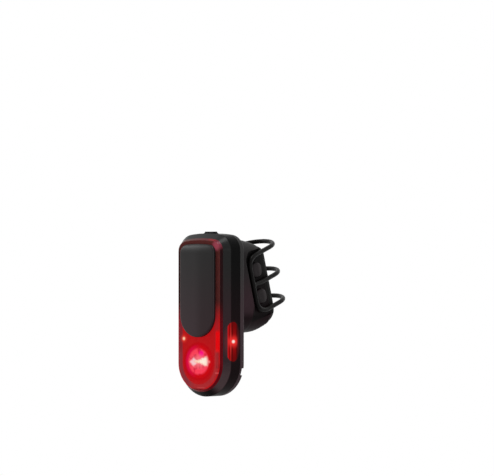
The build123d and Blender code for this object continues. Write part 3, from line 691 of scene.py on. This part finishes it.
def reshaped(piece, moved):
    """Works the piece's modifiers in, then moves each point of its mesh as the function says"""
    seen = piece.evaluated_get(bpy.context.evaluated_depsgraph_get())
    mesh = bpy.data.meshes.new_from_object(seen)
    piece.modifiers.clear()
    piece.data = mesh
    work = bmesh.new()
    work.from_mesh(mesh)
    for vert in work.verts:
        vert.co = moved(vert.co)
    work.to_mesh(mesh)
    work.free()


def limited(value, low, high):
    return min(high, max(low, value))


def share(value, low, high):
    """How far a value is on its way from low to high, from nought to one"""
    return limited((value - low) / (high - low), 0.0, 1.0)


def rolled(place):
    """A point of the radar cover, its top edge rolled back to catch the light from above"""
    proud = (COVER_HIGH.y - place.y) / (COVER_HIGH.y - COVER_LOW.y)
    height = share(place.z, COVER_HIGH.z - BROW_HEIGHT, COVER_HIGH.z)
    return place + Vector((0, BROW_DEPTH * height ** 2 * proud, 0))


def rail_moved(place):
    """A point of the strap or the clamp, nearer the light where the strap's rails lie"""
    y, z = place.y / MM, place.z / MM
    ahead = -y * cos(BORE_LEAN) - z * sin(BORE_LEAN)
    near = share(ahead, *RAIL_SETS_IN) * share(ahead, *RAIL_EASES) * share(y, *RAIL_FRONT)
    smooth = near ** 2 * (3 - 2 * near)
    return place - Vector((0, RAIL_SHIFT * smooth * MM, 0))


def clamp_eased(place):
    """A point of the clamp: its top slopes down away from the light, and its foot is rounder"""
    x, y, z = place / MM
    crown = limited(CROWN_SLOPE * (y + CROWN_LEVEL), *CROWN_LIFT)
    foot = limited(FOOT_SLOPE * (y + FOOT_WIDENING * abs(x) - FOOT_LEVEL), *FOOT_LIFT)
    lift = crown * share(z, *CROWN_HEIGHTS) + foot * share(z, *FOOT_HEIGHTS)
    return rail_moved(place) + Vector((0, 0, lift * MM))


def radar_window():
    piece = softened("radar_cover", "light", satin_window(),
                     voxel=0.3 * MM, rounds=3)
    reshaped(piece, rolled)


def clamp_pieces():
    """The clamp and its rubber liner, with moulded edges"""
    base = softened("mount_base", "mount", mount_black(),
                    voxel=0.42 * MM, rounds=2)
    reshaped(base, clamp_eased)
    pad_black = rubber("pad_black", srgb(20, 19, 19), roughness=0.55, shine=0.10)
    pad = softened("post_pad", "mount", pad_black, voxel=0.3 * MM, rounds=4)
    reshaped(pad, clamp_eased)


def rubber_pieces():
    strap_black = rubber("strap_black", srgb(10, 8, 8), roughness=0.34, shine=0.07)
    button_black = rubber("button_black", srgb(18, 18, 18), roughness=0.5, shine=0.10)
    door_black = rubber("door_black", srgb(28, 27, 27), roughness=0.55, shine=0.12)
    strap = softened("strap", "mount", strap_black, voxel=0.4 * MM, rounds=4)
    reshaped(strap, rail_moved)
    softened("power_button", "power_button", button_black,
             voxel=0.12 * MM, rounds=2)
    softened("button_seal", "light", button_black, voxel=0.12 * MM, rounds=1)
    softened("usb_door", "usb_door", door_black, voxel=0.18 * MM, rounds=2)


# Studio

def studio_floor():
    """Pale floor, plain white further off"""
    work = bmesh.new()
    bmesh.ops.create_grid(work, x_segments=1, y_segments=1, size=FLOOR_SIZE / 2)
    bmesh.ops.translate(work, verts=work.verts, vec=(0, 0, FLOOR_HEIGHT))
    mesh = bpy.data.meshes.new("studio_floor")
    work.to_mesh(mesh)
    work.free()
    floor = bpy.data.objects.new("studio_floor", mesh)
    bpy.context.scene.collection.objects.link(floor)
    finish = Finish("floor_white", Specular_IOR_Level=0.0)
    finish.set(Base_Color=srgb(242, 242, 242), Roughness=0.9)
    reach = (finish.x * finish.x + finish.y * finish.y).root()
    far = reach.ramp(*FLOOR_FADE) * finish.clear_rays()
    matt = Value(finish, finish.shader.outputs[0])
    white = finish.node("ShaderNodeEmission", {}, {"Color": WHITE, "Strength": 1.0})
    blend = finish.node("ShaderNodeMixShader", {}, {"Fac": far, 1: matt, 2: white})
    finish.feed(finish.tree.nodes["Material Output"].inputs["Surface"], blend)
    mesh.materials.append(finish.material)


def studio_world():
    """White to the camera and in reflections, and a soft even light on the object"""
    world = bpy.data.worlds.new("studio")
    bpy.context.scene.world = world
    world.use_nodes = True
    graph = Graph(world.node_tree)
    back = world.node_tree.nodes["Background"]
    graph.feed(back.inputs["Color"], WHITE)
    graph.feed(back.inputs["Strength"], WORLD_LEVEL + (1 - WORLD_LEVEL) * graph.clear_rays())


def softbox(name, place, size, power):
    """A soft lamp panel that points at the light's middle"""
    light = bpy.data.lights.new(name, "AREA")
    light.shape = "RECTANGLE"
    light.size, light.size_y = size
    light.energy = power
    lamp = bpy.data.objects.new(name, light)
    bpy.context.scene.collection.objects.link(lamp)
    lamp.location = place
    lamp.rotation_mode = "QUATERNION"
    lamp.rotation_quaternion = (Vector(LAMP_AIM) - Vector(place)).to_track_quat("-Z", "Y")


def studio_lamps():
    softbox("key_panel", place=(-1.1, -0.75, 0.75), size=(0.5, 0.5), power=6.0)
    softbox("fill_panel", place=(1.35, -0.5, -0.1), size=(0.35, 0.9), power=3.0)
    softbox("top_panel", place=(0.25, -0.05, 1.2), size=(0.5, 0.5), power=5.0)


def studio_camera():
    data = bpy.data.cameras.new("photo_camera")
    data.sensor_width = SENSOR_WIDTH
    data.lens = LENS_LENGTH
    data.clip_end = CAMERA_REACH
    camera = bpy.data.objects.new("photo_camera", data)
    bpy.context.scene.collection.objects.link(camera)
    x = CAMERA_DISTANCE * sin(CAMERA_AZIMUTH)
    y = LENS_FRONT - CAMERA_DISTANCE * cos(CAMERA_AZIMUTH)
    camera.location = (x, y, CAMERA_HEIGHT)
    camera.rotation_euler = (pi / 2 + CAMERA_PITCH, 0, CAMERA_YAW)
    bpy.context.scene.camera = camera


dress_nodes()
radar_window()
clamp_pieces()
rubber_pieces()
studio_floor()
studio_world()
studio_lamps()
studio_camera()
bpy.context.scene.view_settings.view_transform = "Standard"
